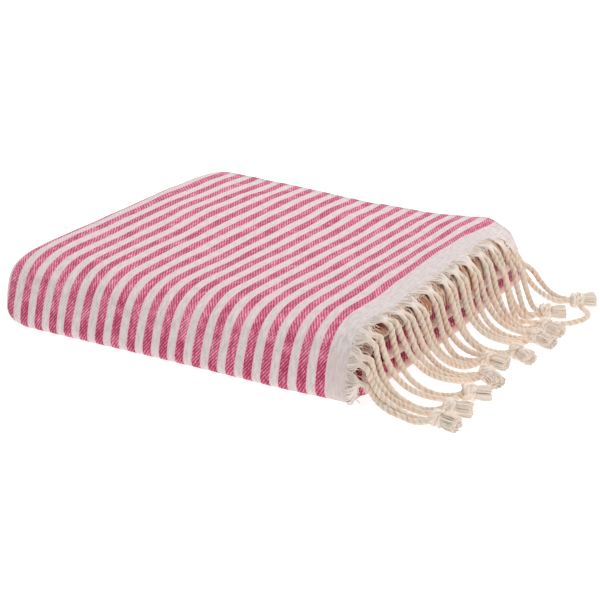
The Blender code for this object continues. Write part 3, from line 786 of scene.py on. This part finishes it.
def cord_way(edge, bundle, side, knot, place):
    """The way of a cord from its fan over the end of the pad to its knot on the floor."""
    root, out, over = edge(bundle_place(bundle))
    way = []
    for spot, share in zip(fan_line(root, out, CORD_SHAPE), PAIR_SHARES):
        way.append(spot + pair_aside(out, over) * side * PAIR_APART / 2 * share)
        way[-1][2] = max(way[-1][2], CORD_RADIUS)
    shoulder = way[-1]
    swing = LOW_SWING + (HIGH_SWING - LOW_SWING) * smooth(root[2], LOW_ROOT, HIGH_ROOT)
    centre, ahead, across = knot_directions(knot)
    centre[2] = CORD_RADIUS
    before = 0 if place is None else knot["cords"] - 1 - place
    if place is None:
        along = [np.array([x, y, CORD_RADIUS]) for x, y in LOOP_WAY]
        along.append(centre + ahead * LOOP_AHEAD - across * LOOP_SIDE)
    else:
        heading = radians(knot["heading"] + (0 if before else knot.get("turned", 0)))
        toward = np.array([cos(heading), sin(heading), 0.0])
        offset = (place - (knot["cords"] - 1) / 2) * SLOT_STEP * np.cross(UP, toward)
        along = [centre - toward * BEFORE_KNOT + offset, centre - toward * INTO_KNOT + offset * 0.4]
        along[-1][2] = INTO_HEIGHT
    target = along[0]
    swing = swing * knot.get("lag", 1)
    ease = knot.get("ease", 1) + knot.get("apart", 0) * before
    ease = ease * (1 + FALL_UNEVEN * sin(5.3 * bundle + 2.4 * side))
    for run, height in CORD_FALL:
        share = run ** ease
        spot = shoulder + (target - shoulder) * share
        spot[1] = shoulder[1] + (target[1] - shoulder[1]) * share ** swing
        spot[2] = target[2] + (shoulder[2] - target[2]) * height
        way.append(spot)
    return way + along


def part_cords(paths):
    """Push the paths of neighbouring cords sideways until they lie clear of each other."""
    holds = []
    for path in paths:
        steps = np.arange(len(path))
        holds.append((smooth(steps, 1, 6) * smooth(steps[::-1], 3, 8))[:, None])
    for _ in range(PUSH_ROUNDS):
        pushes = [np.zeros_like(path) for path in paths]
        for first in range(len(paths)):
            for second in range(first + 1, min(first + 4, len(paths))):
                away = paths[first][:, None] - paths[second][None]
                distance = np.linalg.norm(away, axis=-1, keepdims=True)
                push = away / distance * np.clip(CORD_APART - distance, 0, None) * PUSH_SHARE
                pushes[first] += push.sum(axis=1)
                pushes[second] -= push.sum(axis=0)
        for path, push, hold in zip(paths, pushes, holds):
            for _ in range(3):
                push[1:-1] = (push[:-2] + push[1:-1] + push[2:]) / 3
            path += push * hold * PUSH_WAYS
            path[:, 2] = np.maximum(path[:, 2], CORD_RADIUS)
    return paths


def cord_paths(edge):
    """The middle lines of all cords, from the front to the back."""
    ways = []
    for index, (knot, place) in enumerate(cord_plan()):
        bundle, second = divmod(index + 1, 2)
        side = 0 if bundle == 0 else 2 * second - 1
        ways.append(curve_through(cord_way(edge, bundle, side, knot, place), WAY_STEP))
    return part_cords(ways)


def twist_cords(paths, chance):
    """Each cord is two plies, which part it by two grooves that run round it."""
    piece = Piece()
    for path in paths:
        fine = curve_through([*path[:-1:3], path[-1]], CORD_STEP)
        length = walked(fine)

        def drift(height, step):
            return height * np.sin(length / step + chance.uniform(0, 6))

        thick = 1 + drift(0.06, 0.011) + 0.03 * np.sin(length / 0.0043)
        thick = thick * (0.55 + 0.45 * smooth(length, 0.0, CORD_TAPER))
        start = chance.uniform(0, 2 * pi) + drift(0.7, 0.0071) + drift(0.9, 0.0173)
        # painted shade in the grooves between the plies, wandering a little along the cord
        groove = GROOVE_SHADE + drift(0.12, 0.0093)
        piece.tube(fine, CORD_RADIUS * thick, **CORD_FACE, turn=CORD_TURN * chance.uniform(0.9, 1.1),
                   start=start[:, None], groove=groove[:, None])
    return piece


def gather_fan(piece, edge, room, pair, chance):
    """Warp strands that leave the border side by side and draw together into the cords of one bundle."""
    first, middle, last = room
    root, out, over = edge(middle)
    apex = fan_line(root, out)
    aside = pair_aside(out, over)
    above = unit(np.cross(unit(apex[-1] - apex[-2]), aside))
    above = above if above @ (over + out) > 0 else -above
    reach = (len(pair) - 1) * PAIR_APART / 2 * PAIR_SHARES[0] + COLLAR[0]
    steps = np.linspace(0, 1, len(apex))[:, None]
    for kind in (EVEN_WARP, LOOSE_WARP):
        even = kind is EVEN_WARP
        for number in range(kind["strands"]):
            share = (number + 0.5) / kind["strands"] * 2 - 1 if even else chance.uniform(-1, 1)
            begin = middle + share * FAN_SHARE * (last - middle if share > 0 else middle - first)
            place, here_out, here_over = edge(begin)
            spread = fan_line(place - here_out * ROOT_DEPTH, here_out)
            path = pair[-1] if share > 0 else pair[0]
            within = share if len(pair) == 1 else 2 * share - copysign(1, share)
            within = np.clip(within + (0 if even else chance.uniform(-0.4, 0.4)), -0.98, 0.98)
            rise = sqrt(1 - within ** 2)
            gathered = apex + aside * share * reach + above * (1 - 0.5 * share * share) * COLLAR[1]
            blend = steps ** (FAN_CLOSE[0] + FAN_CLOSE[1] * (1 - over[2]) * abs(share))
            bulge = above * (FAN_BULGE * (1 - share * share) + chance.uniform(*kind["bulge"]))
            sway = aside * chance.normal(0, kind["sway"])
            way = spread * (1 - blend) + gathered * blend + np.sin(pi * steps) * (bulge + sway)
            inside = [path[point] + (aside * within + above * rise * 0.8) * off for point, off in INTO_CORD]
            way = curve_through([*(way + here_over * kind["over"]), *inside], STRAND_STEP)
            # painted shade: the strand darkens towards the cord
            fade = kind["fade"] * smooth(np.linspace(0, 1, len(way)), 0.15, 0.8)
            tone = chance.uniform(*kind["tone"]) - fade
            radius = kind["radius"] * (chance.uniform(0.9, 1.15) if even else 1)
            piece.tube(way, radius, kind["sides"], tone[:, None])


def gather_fans(edge, edge_length, paths, chance):
    """A fan for each bundle, which reaches halfway to the next ones."""
    piece = Piece()
    for bundle in range((len(paths) + 2) // 2):
        middle = bundle_place(bundle)
        first = EDGE_MARGIN if bundle == 0 else (bundle_place(bundle - 1) + middle) / 2
        last = min((middle + bundle_place(bundle + 1)) / 2, edge_length - EDGE_MARGIN)
        pair = paths[max(2 * bundle - 1, 0):2 * bundle + 1]
        gather_fan(piece, edge, (first, middle, last), pair, chance)
    return piece


def tie_knots(chance):
    """Tight overhand knots: a full core, and turns round it one way and across."""
    piece = Piece()
    along = np.linspace(-KNOT_CORE["half"], KNOT_CORE["half"], 15)
    full = np.sqrt(np.clip(1 - (along / KNOT_CORE["end"]) ** 2, 0.02, 1)) * KNOT_CORE["radius"]
    angle = np.linspace(0, 2 * pi, 34)[:, None]
    for knot in KNOTS:
        centre, ahead, aside = knot_directions(knot)
        centre[2] = KNOT_HEIGHT
        piece.tube(centre + ahead * along[:, None], full, **KNOT_FACE)
        roll = chance.uniform(0, 2 * pi)
        tilt = aside * cos(roll) + UP * sin(roll)
        across = aside * np.cos(angle) + UP * np.sin(angle)
        for place, lean, size in KNOT_TURNS:
            lean += chance.uniform(-0.1, 0.1)
            shift = ahead * (place + lean * size * (across @ tilt)[:, None])
            piece.tube(centre + across * size + shift, **KNOT_CORD)
    return piece


def trim_brushes(chance):
    """The cut ends past each knot: soft strands that spread into a blunt brush on the floor."""
    piece = Piece()
    for knot in KNOTS:
        centre, ahead, aside = knot_directions(knot)
        on, high, radius = np.linspace(*BRUSH_HEART, 9).T[..., None]
        piece.tube(centre + ahead * on + UP * high, radius[:, 0], 14, 0.60)
        for _ in range(BRUSH["strands"]):
            angle, spread = chance.uniform(0, 2 * pi), sqrt(chance.uniform(0.15, 1))
            across, high = aside * cos(angle) * spread, sin(angle) * spread
            begin = centre + ahead * BRUSH["start"] + across * BRUSH_ROUND["wide"]
            begin[2] = BRUSH_ROUND["middle"] + high * BRUSH_ROUND["high"]
            reach = BRUSH_REACH + chance.uniform(*BRUSH["blunt"])
            tip = centre + ahead * reach + across * BRUSH_BLUNT["wide"]
            tip[2] = BRUSH_BLUNT["middle"] + high * BRUSH_BLUNT["high"]
            middle = (begin + tip) / 2 + across * BRUSH_FULL["wide"] + UP * high * BRUSH_FULL["high"]
            tip += chance.normal(0, BRUSH["stray"], 3)
            tone = chance.uniform(*BRUSH["tone"])
            way = curve_through([begin, middle, tip], BRUSH["step"])
            piece.tube(way, BRUSH["radius"] * chance.uniform(0.8, 1.15), 6, tone)
    return piece


def add_curl(piece, edge, between, chance):
    """A short loose strand that curls out of the border."""
    begin = between + chance.normal(0, CURLS["spread"])
    place, out, over = edge(begin)
    there, _, _ = edge(begin + chance.normal(0, CURLS["drift"]))
    down = UP * np.clip(place[2] / FAN_HEIGHT, 0, 1)
    bend = out * chance.uniform(*CURLS["bend"]) + over * chance.uniform(*CURLS["lift"])
    tip = there + out * chance.uniform(*CURLS["reach"]) - down * chance.uniform(*CURLS["drop"])
    tone = chance.uniform(*CURLS["tone"])
    way = [place - out * ROOT_DEPTH + over * CURLS["over"], (place + there) / 2 + bend, tip]
    piece.tube(curve_through(way, CURLS["step"]), CURLS["radius"], 4, tone)


def add_slack(piece, edge, between, chance):
    """A slack warp strand that hangs down over the folds, dark in tone as painted shade in the gap."""
    begin = between + chance.uniform(-SLACK["spread"], SLACK["spread"]) * BUNDLE_STEP
    place, out, over = edge(begin)
    there, _, _ = edge(begin + chance.normal(0, SLACK["drift"]))
    way = fan_line(place - over * chance.uniform(*SLACK["under"]), out, SLACK_SHAPE)
    way = way + (there - place) * np.linspace(0, 1, len(way))[:, None]
    way = way + chance.normal(0, SLACK["stray"], way.shape)
    tone = chance.uniform(*SLACK["tone"])
    piece.tube(curve_through(way, STRAND_STEP), SLACK["radius"], 4, tone)


def add_hair(piece, paths, chance):
    """A fine fibre that stands off a cord."""
    path = paths[chance.integers(len(paths))]
    place = path[chance.integers(3, len(path))]
    way = unit(chance.normal(0, 1, 3) * HAIRS["spread"] + HAIRS["lead"])
    bend = chance.normal(0, HAIRS["bend"], 3)
    tip = way * chance.uniform(*HAIRS["reach"]) + bend
    piece.tube(curve_through([place, place + tip / 2, place + tip], STRAND_STEP), HAIRS["radius"], 4, 0.9)


def scatter_strays(edge, paths, chance):
    """Loose fibres: curls and slack warp in the gaps between the fans, darker as painted shade there, and
    hairs on the cords.
    """
    piece = Piece()
    gaps = [(bundle_place(gap) + bundle_place(gap + 1)) / 2 for gap in range(len(paths) // 2)]
    for number, between in enumerate([LOWEST_GAP] + gaps):
        for _ in range(CURLS["count"]):
            add_curl(piece, edge, between, chance)
        for _ in range(FRONT_SLACK[number] if number < len(FRONT_SLACK) else SLACK["count"]):
            add_slack(piece, edge, between, chance)
    for _ in range(HAIRS["count"]):
        add_hair(piece, paths, chance)
    return piece


def make_fringe(cloth, finish):
    """The fans, the twisted cords, their knots and brushes, and stray fibres."""
    chance = np.random.default_rng(11)
    edge, edge_length = border_edge(cloth)
    paths = cord_paths(edge)
    parts = (
        ("warp_fans", gather_fans(edge, edge_length, paths, chance)),
        ("twisted_cords", twist_cords(paths, chance)),
        ("tied_knots", tie_knots(chance)),
        ("cut_brushes", trim_brushes(chance)),
        ("stray_fibres", scatter_strays(edge, paths, chance)),
    )
    return [piece.build(name, finish) for name, piece in parts]


# ---- room

def lay_floor():
    mesh = bpy.data.meshes.new("floor")
    corners = [(x, y, 0) for x, y in ((-6, -6), (6, -6), (6, 6), (-6, 6))]
    mesh.from_pydata(corners, [], [(0, 1, 2, 3)])
    mesh.materials.append(matt_floor())
    new_object("floor", mesh)


def soft_light(name, place, target, size, power, colour):
    data = bpy.data.lights.new(name, "AREA")
    data.shape = "RECTANGLE"
    data.size, data.size_y = size
    data.energy = power
    data.color = linear(colour)[:3]
    lamp = new_object(name, data)
    lamp.rotation_mode = "QUATERNION"
    lamp.rotation_quaternion = (Vector(target) - Vector(place)).to_track_quat("-Z", "Y")
    lamp.location = place


def light_room():
    world = bpy.data.worlds.new("studio")
    world.use_nodes = True
    plug(world.node_tree.nodes["Background"], {"Color": "#FFFFFF", "Strength": 0.47})
    bpy.context.scene.world = world
    soft_light("key", (-0.2, 0.6, 1.7), (0, 0.05, 0), (1.5, 1.5), 21.3, "#FCFBFF")
    soft_light("fill", (1.4, -1.2, 1.0), (0.1, 0, 0), (1.2, 1.2), 1.8, "#FFFFFF")
    soft_light("side", (1.6, -0.3, 0.8), (0.17, 0, 0.02), (1.0, 1.0), 5.4, "#FFEBDE")
    bpy.context.scene.view_settings.view_transform = "Standard"


def set_camera():
    data = bpy.data.cameras.new("camera")
    data.sensor_width = 36.0
    data.lens = CAMERA_LENS
    data.clip_start, data.clip_end = 0.05, 20.0
    camera = new_object("camera", data)
    camera.matrix_world = Matrix([*zip(CAMERA_RIGHT, CAMERA_UP, CAMERA_BACK, CAMERA_PLACE), (0, 0, 0, 1)])
    bpy.context.scene.camera = camera


# ---- the whole

set_camera()
lay_floor()
light_room()

sheet = Cloth()
woven = weave_cloth(sheet, striped_cotton())
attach(woven, "root")
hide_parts("towel_cloth")

tassels = make_fringe(sheet, twisted_cotton())
for tassel in tassels:
    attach(tassel, "root")
    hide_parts("fringe")
